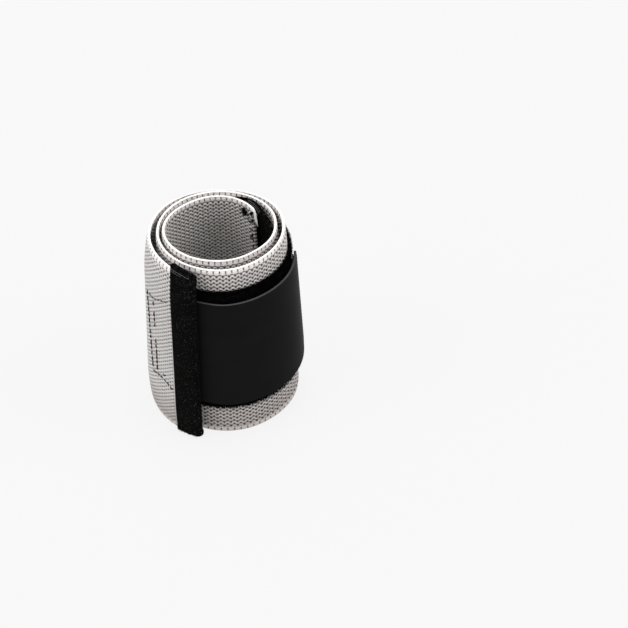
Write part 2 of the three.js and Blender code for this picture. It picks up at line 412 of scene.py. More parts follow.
def new_tree(name):
    material = bpy.data.materials.new(name)
    material.use_nodes = True
    material.node_tree.nodes.clear()
    return material, material.node_tree


FLOOR_SIZE = 4.0
FLOOR_GLOW = 0.847
ROOM_LIGHT = 0.68
LAMPS = (
    # name, strength, width in degrees, direction that the light comes from
    ("overhead", 1.25, 24, (0, 0.15, 1)),
    ("left", 0.95, 40, (-1, -0.4, 0.75)),
    ("right", 0.8, 40, (1, -0.1, 0.8)),
)

floor_mesh = bpy.data.meshes.new("floor")
half = FLOOR_SIZE / 2
floor_mesh.from_pydata(
    [(-half, -half, 0), (half, -half, 0), (half, half, 0), (-half, half, 0)], [], [(0, 1, 2, 3)]
)
floor = put_in_scene("floor", floor_mesh)

paper, tree = new_tree("opal_acrylic")
grain = add(tree, "TexNoise", {"Scale": 900.0, "Detail": 2.0})
bumped = add(tree, "Bump", {"Strength": 0.05, "Distance": 0.0002, "Height": grain})
shade = add(tree, "BsdfPrincipled", {
    "Base Color": linear("4a4a4a"), "Roughness": 0.9, "Normal": bumped,
    "Specular IOR Level": 0.0, "Emission Color": linear("ffffff"), "Emission Strength": FLOOR_GLOW,
})
add(tree, "OutputMaterial", {"Surface": shade})
floor_mesh.materials.append(paper)

for name, strength, width, side in LAMPS:
    lamp = bpy.data.lights.new(name, "SUN")
    lamp.energy = strength
    lamp.angle = math.radians(width)
    shone = put_in_scene(name, lamp)
    shone.rotation_euler = Vector(side).to_track_quat("Z", "Y").to_euler()

world = bpy.data.worlds.new("room")
world.use_nodes = True
world.node_tree.nodes["Background"].inputs["Color"].default_value = linear("ffffff")
world.node_tree.nodes["Background"].inputs["Strength"].default_value = ROOM_LIGHT
bpy.context.scene.world = world
bpy.context.scene.view_settings.view_transform = "Standard"
print("lamps:", [name for name, *_ in LAMPS])

# %% [markdown]
# The band is woven elastic: pale polyester yarns lie in waves across rubber cords, and brownish
# gaps show between them on a staggered lattice. Its two edges are a smooth cord and a row of pale
# blocks. A picture of cloth would blur, so the rows are real relief where the band is seen: four
# points for each wave and four for each row, laid along the waves so that the yarns stay sharp.
# Faces that lie against another layer are left coarse, and the material draws the weave there.

# %% Weave of the band
WAVE = 2.46
WAVE_REACH = 0.46
SELVEDGE_CORD = 0.45
SELVEDGE = 2.1
SELVEDGE_DASH = 1.6
WEAVE_ROWS = 41
ROW = (WEBBING_WIDTH - 2 * SELVEDGE) / WEAVE_ROWS
WEAVE_DEPTH = 0.5
DASH_DEPTH = 0.2
STRETCH_LOSS = 0.7
STRETCHED_LENGTH = (34, 75)
POINTS_PER_WAVE = 4
POINTS_PER_ROW = 4
HIDDEN_MARGIN = 2
HIDDEN_STEP = 8
HIDDEN_SHARE = 0.9
# Angles at the back where the outer turn's edge has begun to roll outward, and where it ends.
# The mesh isn't rolled there: the edge cord is painted greyer instead, a painted shade.
ROLLED_EDGE_SHADE = [(765, 795), (850, 885)]


def stretch_at(length):
    """Near the outer end the seams hold the band stretched, and its gaps close: 1 there."""
    return 1 - smoothstep(BAND_LENGTH - length, *STRETCHED_LENGTH)


def woven_rows():
    """Heights across the band, as (height at the yarn's middle, share of the wave, relief)."""
    border = [(0.08, 0, -0.4), (0.25, 0, -0.28), (SELVEDGE_CORD, 0, -0.4), (0.6, 0, -0.22),
              (1.1, 0, -0.1), (SELVEDGE_DASH, 0, -0.1)]
    rows = list(border)
    for step in range(WEAVE_ROWS * POINTS_PER_ROW + 1):
        place = step / POINTS_PER_ROW
        sway = min(place, WEAVE_ROWS - place, 1)
        valley = 0.5 - 0.5 * math.cos(2 * math.pi * (place - 0.25))
        rows.append((SELVEDGE + ROW * place, sway, -WEAVE_DEPTH * valley))
    rows += [(WEBBING_WIDTH - height, sway, relief) for height, sway, relief in border[::-1]]
    return np.array(rows)


def rows_round_pad():
    """Woven rows that are coarse where the pad and the tab hide them."""
    rows = woven_rows()
    above = rows[:, 0] > PAD_BASE_MARGIN + HIDDEN_MARGIN
    below = rows[:, 0] < WEBBING_WIDTH - PAD_TOP_MARGIN - HIDDEN_MARGIN
    return rows[~(above & below) | (np.arange(len(rows)) % HIDDEN_STEP == 0)]


def plain_rows():
    rows = [(0.08, 0, -0.4), (0.25, 0, -0.28), (SELVEDGE_CORD, 0, -0.4), (1.1, 0, -0.15),
            (SELVEDGE, 0, -0.1), (6, 0, 0), (14, 0, 0), (27, 0, 0), (40, 0, 0)]
    rows += [(WEBBING_WIDTH - height, sway, relief) for height, sway, relief in rows[-2::-1]]
    return np.array(rows)


def zip_rows(first, second, first_keys, second_keys, flip):
    """Triangles between two columns of points with different spacing."""
    faces, i, j = [], 0, 0
    while i < len(first) - 1 or j < len(second) - 1:
        more_first = i < len(first) - 1
        more_second = j < len(second) - 1
        if more_first and (not more_second or first_keys[i + 1] <= second_keys[j + 1]):
            faces.append([first[i], second[j], first[i + 1]])
            i += 1
        else:
            faces.append([first[i], second[j], second[j + 1]])
            j += 1
    faces = [face for face in faces if len(set(face)) == 3]
    return [face[::-1] for face in faces] if flip else faces


def band_column(angles, rows, side):
    """Points of one face of the band, and their places on the cloth."""
    length = np.interp(angles, band_angles, band_lengths)[:, None]
    height, sway, relief = rows.T[:, None, :]
    phase = 2 * np.pi * length / WAVE
    wave = WAVE_REACH * sway * np.cos(phase)
    gap = np.cos(phase) ** 2
    deep = 1 - STRETCH_LOSS * stretch_at(length)
    dent = np.where(sway > 0, relief * (0.5 + 0.5 * gap) * deep, relief)
    dash = (sway == 0) & (height > SELVEDGE_CORD) & (height < WEBBING_WIDTH - SELVEDGE_CORD)
    dent = np.where(dash & (np.cos(phase) > 0.99), dent - DASH_DEPTH, dent)
    raised = (height + wave) * rim_height(angles)[:, None] / WEBBING_WIDTH
    out = side * (WEBBING_THICKNESS / 2 + dent)
    share = ((angles - INNER_END) / (OUTER_END - INNER_END))[:, None]
    points = bend(band_path, share, raised, out)
    cloth = np.stack(np.broadcast_arrays(length, height + wave, stretch_at(length)), axis=-1)
    return points, cloth


def band_blocks():
    """Stretches of the band with the rows of each face: outer face first."""
    woven, plain = woven_rows(), plain_rows()
    step = WAVE / POINTS_PER_WAVE
    lengths = np.arange(0, BAND_LENGTH, step)
    lengths = np.append(lengths, BAND_LENGTH)
    angles = np.interp(lengths, band_lengths, band_angles)
    middle = angles > INNER_END + TURN
    outer = angles >= turn_below_end
    bare_start = turn_below_end + HIDDEN_SHARE * span_of(TAB_LENGTH - TAB_UNDERLAP, turn_below_end)
    bare = angles >= bare_start
    return [
        (angles[~middle], plain, woven),
        (angles[middle & ~outer][::2], plain, plain),
        (angles[outer & ~bare], rows_round_pad(), plain),
        (angles[bare], woven, plain),
    ]


def webbing_band():
    points, cloth, faces = [], [], []
    total, last = 0, None
    edge_rows = np.array([(0, 0, 0), (WEBBING_WIDTH, 0, 0)])
    for angles, outer_rows, inner_rows in band_blocks():
        sides = [band_column(angles, rows, side)
                 for rows, side in ((outer_rows, 1), (edge_rows, 0), (inner_rows, -1))]
        block, block_cloth = (
            np.concatenate([edges[:, :1], outer, edges[:, 1:], inner], axis=1)
            for outer, edges, inner in zip(*sides)
        )
        index = total + np.arange(block.shape[0] * block.shape[1]).reshape(block.shape[:2])
        count = len(outer_rows)
        outer_index = index[:, :count + 2]
        inner_index = index[:, [0, *range(count + 2, block.shape[1]), count + 1]]
        outer_keys, inner_keys = ([0, *rows[:, 0], WEBBING_WIDTH] for rows in (outer_rows, inner_rows))
        faces += grid_faces(outer_index) + grid_faces(inner_index, flip=True)
        if last is None:
            faces += zip_rows(inner_index[0], outer_index[0], inner_keys, outer_keys, False)
        else:
            faces += zip_rows(last[0][-1], outer_index[0], last[2], outer_keys, False)
            faces += zip_rows(last[1][-1], inner_index[0], last[3], inner_keys, True)
        points.append(block.reshape(-1, 3))
        cloth.append(block_cloth.reshape(-1, 3))
        total += index.size
        last = (outer_index, inner_index, outer_keys, inner_keys)
    faces += zip_rows(last[0][-1], last[1][-1], last[2], last[3], False)
    faces = [[int(corner) for corner in face] for face in faces]
    triangles = sum(len(face) - 2 for face in faces)
    print("webbing_band has", triangles, "triangles")
    return make_object("webbing_band", np.concatenate(points), faces, np.concatenate(cloth))


band = webbing_band()

# %% [markdown]
# Woven elastic is matt polyester: it scatters light between its fibres, so it is rough and has a
# weak sheen and hardly any gloss. The material repeats the weave's formula from the position on
# the cloth. The gaps get a dark pinkish brown: the rubber's own colour, deepened by painted shade
# of the gap. The yarns get a warm pale grey with a fine streak along them. A yarn's own fibres are
# 0.02 mm thick, far too fine to show, and are drawn 0.2 mm wide.

# %% Woven elastic
def cloth_tree(name):
    """A new material's tree, and the place on the cloth in millimetres."""
    material, tree = new_tree(name)
    return material, tree, add(tree, "Attribute", attribute_name="cloth").node.outputs["Vector"]


def streaks(tree, marks, scale, detail=2.0):
    """Noise with a scale of its own along and across the cloth, in steps per millimetre."""
    place = add(tree, "VectorMath", {0: marks, 1: (*scale, 0.0)}, operation="MULTIPLY")
    return add(tree, "TexNoise", {"Vector": place, "Scale": 1.0, "Detail": detail})


def woven_elastic():
    material, tree, marks = cloth_tree("woven_polyester_elastic")
    place = add(tree, "SeparateXYZ", {0: marks}).node.outputs
    phase = add(tree, "Math", {0: place[0], 1: 2 * math.pi / WAVE}, operation="MULTIPLY")
    wave = add(tree, "Math", {0: phase}, operation="COSINE")
    gap = add(tree, "Math", {0: wave, 1: wave}, operation="MULTIPLY")
    sway = add(tree, "Math", {0: wave, 1: -WAVE_REACH / ROW}, operation="MULTIPLY")
    row = add(tree, "Math", {0: place[1], 1: SELVEDGE + ROW / 4}, operation="SUBTRACT")
    row = add(tree, "Math", {0: row, 1: 1 / ROW, 2: sway}, operation="MULTIPLY_ADD")
    row = add(tree, "Math", {0: row, 1: 2 * math.pi}, operation="MULTIPLY")
    crest = add(tree, "Math", {0: row}, operation="COSINE")
    valley = add(tree, "Math", {0: crest, 1: -0.5, 2: 0.5}, operation="MULTIPLY_ADD")
    open_share = add(tree, "Math", {0: gap, 1: 0.45, 2: 0.55}, operation="MULTIPLY_ADD")
    dent = add(tree, "Math", {0: valley, 1: open_share}, operation="MULTIPLY")
    patches = streaks(tree, marks, (0.22, 0.3))
    closed = add(tree, "Math", {0: place[2], 1: 0.55}, operation="MULTIPLY")
    closed = add(tree, "Math", {0: closed, 1: patches, 2: 0.28}, operation="MULTIPLY_ADD")
    gap_rubber_and_shade_mask = add(tree, "MapRange", {"Value": dent, 1: closed, "From Max": 0.78},
                interpolation_type="SMOOTHSTEP")
    inset = add(tree, "Math", {0: place[1], 1: WEBBING_WIDTH / 2}, operation="SUBTRACT")
    inset = add(tree, "Math", {0: inset}, operation="ABSOLUTE")
    inside = add(tree, "Math", {0: inset, 1: WEBBING_WIDTH / 2 - SELVEDGE}, operation="LESS_THAN")
    cord_start, dash_start = (WEBBING_WIDTH / 2 - depth for depth in (SELVEDGE_CORD, SELVEDGE_DASH))
    below_cord = add(tree, "Math", {0: inset, 1: cord_start}, operation="LESS_THAN")
    above_rows = add(tree, "Math", {0: inset, 1: dash_start}, operation="GREATER_THAN")
    ragged = streaks(tree, marks, (1.1, 2.0))
    dash = add(tree, "Math", {0: ragged, 1: 0.5, 2: wave}, operation="MULTIPLY_ADD")
    dash = add(tree, "MapRange", {"Value": dash, "From Min": 1.02, "From Max": 1.24})
    dash = add(tree, "Math", {0: dash, 1: below_cord}, operation="MULTIPLY")
    dash = add(tree, "Math", {0: dash, 1: above_rows}, operation="MULTIPLY")
    gaps = add(tree, "Mix", {0: inside, 2: dash, 3: gap_rubber_and_shade_mask}, data_type="FLOAT")
    fibres = streaks(tree, marks, (0.5, 5.0), 3.0)
    broad = add(tree, "Math", {0: streaks(tree, marks, (0.06, 0.09)), 1: 0.5}, operation="MULTIPLY")
    yarn = add(tree, "Mix", {0: fibres, 6: linear("c6c5c4"), 7: linear("fafafa")}, data_type="RGBA")
    yarn = add(tree, "Mix", {0: broad, 6: yarn, 7: linear("e2d8d3")}, data_type="RGBA")
    block = add(tree, "Mix", {0: fibres, 6: linear("efe4df"), 7: linear("fdfbfa")}, data_type="RGBA")
    yarn = add(tree, "Mix", {0: inside, 6: block, 7: yarn}, data_type="RGBA")
    # Painted shade: the edge cord is painted greyer where the outer turn's edge rolls outward
    rolled_edge_shade, upright = (
        add(tree, "MapRange", {"Value": place[0], 1: start, 2: end, "To Max": 0.9})
        for start, end in np.interp(ROLLED_EDGE_SHADE, band_angles, band_lengths).tolist()
    )
    rolled_edge_shade = add(tree, "Math", {0: rolled_edge_shade, 1: upright}, operation="SUBTRACT")
    edge = add(tree, "Mix", {0: rolled_edge_shade, 6: linear("fbfaf8"), 7: linear("e0dedb")}, data_type="RGBA")
    cord = add(tree, "Mix", {0: below_cord, 6: edge, 7: yarn}, data_type="RGBA")
    # Painted shade: the yarns and the edge cord are painted darker and browner toward the foot, up to
    # 18 mm
    foot_shade = add(tree, "MapRange", {"Value": place[1], "From Max": 18.0, "To Min": 0.5, "To Max": 0.0})
    cord = add(tree, "Mix", {0: foot_shade, 6: cord, 7: linear("6e5c52")}, data_type="RGBA")
    # Gap colour: the rubber showing through, painted darker as painted shade inside the gaps
    gap_rubber_and_shade = add(tree, "Mix", {0: fibres, 6: linear("1e1410"), 7: linear("7a5f51")},
                     data_type="RGBA")
    colour = add(tree, "Mix", {0: gaps, 6: cord, 7: gap_rubber_and_shade}, data_type="RGBA")
    sunk = add(tree, "Mix", {0: inside, 2: gaps, 3: dent}, data_type="FLOAT")
    relief = add(tree, "Math", {0: fibres, 1: 0.35}, operation="MULTIPLY")
    relief = add(tree, "Math", {0: sunk, 1: -1.0, 2: relief}, operation="MULTIPLY_ADD")
    bumped = add(tree, "Bump", {"Strength": 1.0, "Distance": 0.0009, "Height": relief})
    shade = add(tree, "BsdfPrincipled", {
        "Base Color": colour, "Roughness": 0.88, "Normal": bumped, "Specular IOR Level": 0.3,
        "Sheen Weight": 0.15, "Sheen Roughness": 0.5,
    })
    add(tree, "OutputMaterial", {"Surface": shade})
    return material


dress(band, woven_elastic(), "elastic_webbing")
print("weave:", round(BAND_LENGTH / WAVE), "waves by", WEAVE_ROWS, "rows")

# %% [markdown]
# The loop pad is brushed nylon fleece, sewn flat on the second turn. Its surface is a mat of fine
# loops, nearly black because light is caught between them. The sheet gets an uneven surface,
# and loose fibres stand out of it where it shows, thickest along its cut borders.

# %% Loop pad
pad_offset = WEBBING_THICKNESS / 2 + PIECE_GAP + PAD_THICKNESS / 2
hook_offset = pad_offset + PAD_THICKNESS / 2 + PIECE_GAP + HOOK_THICKNESS / 2
tab_offset = hook_offset + HOOK_THICKNESS / 2 + PIECE_GAP + TAB_THICKNESS / 2
tab_root_offset = pad_offset + PAD_THICKNESS / 2 + PIECE_GAP + TAB_THICKNESS / 2
fold_radius = WEBBING_THICKNESS / 2 + PIECE_GAP + BINDING_THICKNESS / 2
fold_reach = fold_radius + BINDING_THICKNESS / 2 + PIECE_GAP
tab_rise = turn_below_end + span_of(fold_reach, turn_below_end)
hook_start = turn_below_end + span_of(HOOK_SETBACK, turn_below_end)


def tab_offset_at(angle):
    """The tab lies on the pad at its root, and rises over the hook tape past the outer end."""
    return tab_root_offset + (tab_offset - tab_root_offset) * smoothstep(angle, tab_rise, hook_start)


def angle_after(start, length, offset_at):
    angles, lengths = walk(start, OUTER_END, offset_at)
    return float(np.interp(length, lengths, angles))


on_pad = steady(pad_offset)
tab_end = angle_after(tab_start, TAB_LENGTH, tab_offset_at)
hook_end = tab_end - span_of(HOOK_MARGIN, tab_end)
pad_end = angle_after(tab_end, PAD_OVERRUN, on_pad)
PAD_LENGTH = length_of(pad_start, pad_end, on_pad)
pad_path = along_winding(pad_start, pad_end, on_pad)
PAD_TOP = WEBBING_WIDTH - PAD_TOP_MARGIN
FLEECE_DEPTH = 0.22


def tufts(length, height, edge):
    """Uneven pile: small hills with no order to them."""
    random = np.random.default_rng(11)
    hills = random.random(length.shape)
    hills = (hills + np.roll(hills, 1, 0) + np.roll(hills, 1, 1) + np.roll(hills, (1, 1), (0, 1))) / 4
    return (hills - 0.5) * 2 * FLEECE_DEPTH


pad = pillow("fleece_pad", pad_path, PAD_LENGTH, steady(PAD_BASE_MARGIN), steady(PAD_TOP),
             PAD_THICKNESS, 0.9, 0.5, tufts)


def brushed_nylon():
    material, tree, marks = cloth_tree("brushed_nylon_fleece")
    pile = add(tree, "TexNoise", {"Vector": marks, "Scale": 2.2, "Detail": 4.0, "Roughness": 0.7})
    lint = add(tree, "MapRange", {"Value": pile, "From Min": 0.55, "From Max": 0.7})
    colour = add(tree, "Mix", {0: lint, 6: linear("010101"), 7: linear("343435")}, data_type="RGBA")
    bumped = add(tree, "Bump", {"Strength": 0.8, "Distance": 0.0004, "Height": pile})
    shade = add(tree, "BsdfPrincipled", {
        "Base Color": colour, "Roughness": 0.95, "Normal": bumped, "Specular IOR Level": 0.04,
    })
    add(tree, "OutputMaterial", {"Surface": shade})
    return material


fleece = brushed_nylon()
dress(pad, fleece, "loop_pad")

# %% [markdown]
# Fuzz is what tells the eye that this is fleece. Each fibre starts on the sheet, leans a random
# way and bends as it leaves. A real one is 0.03 mm thick. Here it is 0.13 mm, so that it shows.

# %% Fuzz of the pad
FIBRE_RADIUS = 0.065
FUZZ_COUNT = 9000
FUZZ_LENGTH = (0.5, 1.3)


def fuzz(name, path, share, height, out, lean, seed, length=FUZZ_LENGTH, radius=FIBRE_RADIUS,
         drift=0.0):
    """Short bent fibres that start on a strip. They lean up or down, and drift along it."""
    random = np.random.default_rng(seed)
    count = len(share)
    root = bend(path, share, height, out)
    outward = bend(path, share, height, out + np.where(out < 0, -1, 1)) - root
    sideways = np.cross(outward, [0.0, 0.0, 1.0])
    long = random.uniform(*length, count)[:, None]
    tip = outward * random.uniform(0.25, 1, (count, 1))
    tip += sideways * random.normal(drift, 0.6, (count, 1))
    tip[:, 2] += lean + random.normal(0, 0.5, count)
    tip *= long / np.linalg.norm(tip, axis=1, keepdims=True)
    middle_point = root + tip * 0.5 + random.normal(0, 0.13, (count, 3)) * long
    paths = np.stack([root, middle_point, root + tip], axis=1)
    radii = np.full((count, 3), radius) * np.array([1, 0.8, 0.25])
    return strands(name, paths, radii, 3)


random = np.random.default_rng(5)
spots = random.random(FUZZ_COUNT)
pick = random.random(FUZZ_COUNT)
inset = random.random(FUZZ_COUNT) ** 1.6
top_strip = PAD_TOP - inset * 5
base_strip = PAD_BASE_MARGIN + inset * 3.5
fuzz_height = np.where(pick < 0.6, top_strip, base_strip)
fuzz_lean = np.where(pick < 0.6, 0.7, -0.7) * (1 - inset)
pad_fuzz = fuzz("pad_fuzz", pad_path, spots, fuzz_height, np.full(FUZZ_COUNT, PAD_THICKNESS / 2 - 0.1),
                fuzz_lean, 6)
dress(pad_fuzz, fleece)

# %% [markdown]
# The closure is two layers: a smooth skin outside, and hook tape inside that grips the pad. Both
# are cut to one outline, with corners cut off at the root and the tip. The skin's last centimetre
# has ribs for the fingers. A thin paler line along its outline is a painted highlight of the edge.

# %% Closure tab and hook tape
RIB_PITCH = 1.7
RIB_HEIGHT = 0.22
TAB_LOW = TAB_BASE_MARGIN
TAB_HIGH = WEBBING_WIDTH - TAB_TOP_MARGIN


def tab_cut(distance):
    """How far the outline is cut in at a distance from the tab's root."""
    tip_share = np.maximum(1 - (TAB_LENGTH - distance) / TAB_TIP_LENGTH, 0)
    tip_cut = (TAB_HIGH - TAB_LOW - TAB_TIP_WIDTH) / 2 * tip_share
    return np.maximum(np.maximum(tip_cut, TAB_ROOT_CORNER - distance), 0)


def tab_strip(name, start, end, margin, offset_at, thickness, step, rounding, relief=None):
    """A strip with the tab's outline between two angles, drawn in from it by margin."""
    def inset(share):
        angle = start + (end - start) * share
        return margin + tab_cut(TAB_LENGTH * (angle - tab_start) / (tab_end - tab_start))
    length = length_of(start, end, offset_at)
    path = along_winding(start, end, offset_at)
    made = pillow(name, path, length, lambda share: TAB_LOW + inset(share),
                  lambda share: TAB_HIGH - inset(share), thickness, step, rounding, relief)
    return made, length


def ribs(length, height, edge):
    grip = smoothstep(length, TAB_LENGTH - TAB_TIP_LENGTH - 0.5, TAB_LENGTH - TAB_TIP_LENGTH + 1)
    rib = 0.5 + 0.5 * np.cos(2 * np.pi * height / RIB_PITCH)
    return grip * rib * RIB_HEIGHT * np.clip(edge - 0.6, 0, 1)


tab, tab_length = tab_strip("tab_skin", tab_start, tab_end, 0, tab_offset_at, TAB_THICKNESS,
                            0.45, 0.22, ribs)
hooks, hook_length = tab_strip("hook_strip", hook_start, hook_end, HOOK_MARGIN,
                               steady(hook_offset), HOOK_THICKNESS, 1.5, 0.2)


def polyurethane_skin():
    material, tree, marks = cloth_tree("polyurethane_skin")
    place = add(tree, "SeparateXYZ", {0: marks}).node.outputs
    pores = add(tree, "TexNoise", {"Vector": marks, "Scale": 3.0, "Detail": 3.0})
    broad = add(tree, "TexNoise", {"Vector": marks, "Scale": 0.08, "Detail": 2.0})
    face = add(tree, "Mix", {0: broad, 6: linear("131314"), 7: linear("181819")}, data_type="RGBA")
    # Painted highlight: the skin is painted paler in a thin line along its outline
    edge_highlight = add(tree, "MapRange", {
        "Value": place[2], "From Min": 0.06, "From Max": 0.2, "To Min": 1.0, "To Max": 0.0,
    })
    colour = add(tree, "Mix", {0: edge_highlight, 6: face, 7: linear("484849")}, data_type="RGBA")
    rough = add(tree, "MapRange", {"Value": pores, "To Min": 0.42, "To Max": 0.56})
    bumped = add(tree, "Bump", {"Strength": 0.15, "Distance": 0.0001, "Height": pores})
    shade = add(tree, "BsdfPrincipled", {
        "Base Color": colour, "Roughness": rough, "Normal": bumped, "IOR": 1.25,
        "Specular IOR Level": 0.04,
    })
    add(tree, "OutputMaterial", {"Surface": shade})
    return material


def moulded_nylon():
    material, tree, marks = cloth_tree("moulded_nylon_hooks")
    rows = add(tree, "TexNoise", {"Vector": marks, "Scale": 1.4, "Detail": 2.0})
    colour = add(tree, "Mix", {0: rows, 6: linear("070707"), 7: linear("1c1c1d")}, data_type="RGBA")
    bumped = add(tree, "Bump", {"Strength": 0.6, "Distance": 0.0003, "Height": rows})
    shade = add(tree, "BsdfPrincipled", {"Base Color": colour, "Roughness": 0.6, "Normal": bumped})
    add(tree, "OutputMaterial", {"Surface": shade})
    return material


dress(tab, polyurethane_skin(), "closure_tab")
dress(hooks, moulded_nylon(), "hook_tape")
tab_width = TAB_HIGH - TAB_LOW
tip_loss = (tab_width - TAB_TIP_WIDTH) / 2 * TAB_TIP_LENGTH
for piece, margin, length, loss, under in (
    (tab, 0, tab_length, tip_loss + TAB_ROOT_CORNER**2, "hook_strip"),
    (hooks, HOOK_MARGIN, hook_length, tip_loss, "fleece_pad"),
):
    width = tab_width - 2 * margin

# %% [markdown]
# A black woven tape is folded over the outer end of the band and sewn through, which keeps the
# yarns from fraying. It is one strip that runs along one face, round the end and back along the
# other face. Its own ends are turned under at the top and the foot, so it is thicker there.

# %% End tape
fold_length = math.pi * fold_radius
TAPE_LENGTH = 2 * BINDING_LEG + fold_length
TAPE_TOP = float(rim_height(OUTER_END))
HEM = 3.2
HEM_RISE = 0.3
RIB_WALE = 0.9
RIB_DEPTH = 0.05


def tape_path(share, height):
    share, height = np.broadcast_arrays(share, height)
    distance = share * TAPE_LENGTH
    on_outer = np.clip(distance / BINDING_LEG, 0, 1)
    on_inner = np.clip((distance - BINDING_LEG - fold_length) / BINDING_LEG, 0, 1)
    bend_angle = np.clip((distance - BINDING_LEG) / fold_radius, 0, math.pi)
    flare = BASE_FLARE * (1 - height / WEBBING_WIDTH)
    leg_span = np.degrees(BINDING_LEG / (centre_radius(np.float64(OUTER_END), height) + flare))
    angle = OUTER_END - leg_span * (1 - on_outer + on_inner)
    point = winding_point(angle, height, fold_radius * np.cos(bend_angle))
    reach = fold_radius * np.sin(bend_angle)
    turn = math.radians(OUTER_END)
    return point + reach[..., None] * np.array([-math.sin(turn), math.cos(turn)])


def hems(length, height, edge):
    fold = TAPE_TOP - HEM
    hem = smoothstep(height, fold, fold + 0.4) + smoothstep(HEM - height, 0, 0.4)
    wale = RIB_DEPTH * np.cos(2 * np.pi * length / RIB_WALE)
    return hem * HEM_RISE + wale


tape = pillow("binding_tape", tape_path, TAPE_LENGTH, steady(BINDING_BASE_MARGIN), steady(TAPE_TOP),
              BINDING_THICKNESS, 0.45, 0.4, hems)


def woven_tape():
    material, tree, marks = cloth_tree("woven_polyester_tape")
    place = add(tree, "SeparateXYZ", {0: marks}).node.outputs
    wale = add(tree, "Math", {0: place[0], 1: 2 * math.pi / RIB_WALE}, operation="MULTIPLY")
    pick_turn = add(tree, "Math", {0: place[1], 1: 2 * math.pi / 0.8}, operation="MULTIPLY")
    wale = add(tree, "Math", {0: wale}, operation="SINE")
    pick_wave = add(tree, "Math", {0: pick_turn}, operation="SINE")
    weave = add(tree, "Math", {0: wale, 1: pick_wave}, operation="MULTIPLY")
    lint = add(tree, "TexNoise", {"Vector": marks, "Scale": 1.6, "Detail": 5.0, "Roughness": 0.75})
    specks = add(tree, "MapRange", {"Value": lint, "From Min": 0.58, "From Max": 0.68})
    threads = add(tree, "MapRange", {"Value": weave, "From Min": 0.1, "From Max": 0.9})
    cloth = add(tree, "Mix", {0: threads, 6: linear("000000"), 7: linear("171717")}, data_type="RGBA")
    colour = add(tree, "Mix", {0: specks, 6: cloth, 7: linear("5a5856")}, data_type="RGBA")
    height = add(tree, "Math", {0: weave, 1: 0.4, 2: lint}, operation="MULTIPLY_ADD")
    bumped = add(tree, "Bump", {"Strength": 0.6, "Distance": 0.0003, "Height": height})
    shade = add(tree, "BsdfPrincipled", {
        "Base Color": colour, "Roughness": 0.9, "Normal": bumped, "Specular IOR Level": 0.03,
    })
    add(tree, "OutputMaterial", {"Surface": shade})
    return material


tape_cloth = woven_tape()
dress(tape, tape_cloth, "end_binding")

# %% [markdown]
# At the top the tape is folded shut over the rim, so a round cap stands a little above the band.
# Its foot is cut, and short fibres stick out there.

# %% Cap and foot of the end tape
CAP_RISE = 0.9
CAP_SLOPE = 1.2
CAP_DEPTH = 1.4
CAP_THICKNESS = 3.6
FOOT_FIBRES = 160

cap_start = OUTER_END - span_of(BINDING_LEG + 0.8, OUTER_END)
cap_end = OUTER_END + span_of(fold_radius + BINDING_THICKNESS / 4, OUTER_END)
cap_path = along_winding(cap_start, cap_end)
cap = pillow("binding_cap", cap_path, length_of(cap_start, cap_end), steady(TAPE_TOP - CAP_DEPTH),
             lambda share: TAPE_TOP + CAP_RISE + CAP_SLOPE * (1 - share), CAP_THICKNESS, 0.4, 1.3)
random = np.random.default_rng(21)
foot_share = random.uniform(0.02, BINDING_LEG / TAPE_LENGTH, FOOT_FIBRES)
foot_height = BINDING_BASE_MARGIN + random.uniform(0, 1, FOOT_FIBRES)
foot_depth = random.uniform(-0.3, BINDING_THICKNESS / 2 + 0.2, FOOT_FIBRES)
foot = fuzz("foot_fibres", tape_path, foot_share, foot_height, foot_depth, -1.2, 22, (0.4, 0.95), 0.07)
dress(cap, tape_cloth)
dress(foot, tape_cloth)

# %% [markdown]
# The thumb loop is a black elastic tape, sewn behind the inner end of the band. Its free side
# leans into the hollow and its top sags a little toward that side. A thicker rolled hem lies
# along the top near the seam, and the sewn edge shows as a thin dark line behind the rim. Both
# are short pillows of their own, because the tape itself is one even layer.

# %% Thumb loop
loop_clearance = WEBBING_THICKNESS / 2 + LAYER_GAP + LOOP_THICKNESS / 2


def loop_path(share, height):
    angle = loop_free + (loop_seam - loop_free) * share + TURN
    lean = LOOP_LEAN * np.sin(np.pi * share) ** 2
    return winding_point(angle, height, -loop_clearance - lean)


def loop_top(share):
    return WEBBING_WIDTH - LOOP_TOP_MARGIN - LOOP_SAG * (1 - share) ** 2


loop = pillow("thumb_tape", loop_path, LOOP_WIDTH, steady(0.05), loop_top, LOOP_THICKNESS, 0.6, 0.4)
dress(loop, tape_cloth, "thumb_loop")

HEM_START = 0.56
HEM_DEPTH = 4.5
HEM_THICKNESS = 2.3


def hem_path(share, height):
    return loop_path(HEM_START + (1 - HEM_START) * np.asarray(share), height)


loop_hem = pillow("thumb_tape_hem", hem_path, LOOP_WIDTH * (1 - HEM_START),
                  steady(WEBBING_WIDTH - HEM_DEPTH),
                  lambda share: WEBBING_WIDTH - 0.6 - 1.6 * (1 - share) ** 2, HEM_THICKNESS, 0.4, 1.1)

SEWN_THICKNESS = 0.6
SEWN_WIDTH = 5.6
SEWN_SPAN = 14
SEWN_BASE = 70
sewn_path = along_winding(loop_seam + TURN, loop_seam + SEWN_SPAN + TURN,
                          steady(0.2 - loop_clearance))
sewn_edge = pillow("thumb_tape_edge", sewn_path, SEWN_WIDTH, steady(SEWN_BASE),
                   lambda share: WEBBING_WIDTH - 0.5 - 0.8 * share, SEWN_THICKNESS, 0.6, 0.3)
dress(loop_hem, tape_cloth)
dress(sewn_edge, tape_cloth)

# %% [markdown]
# Black thread holds everything together: a boxed seam through the outer turn and the tab's root,
# and a rougher one through the inner end and the thumb loop. A stitch is a short thread that
# rises from the cloth and dives back into it. Elastic webbing swallows some of them, so a few
# are left out and the others vary.

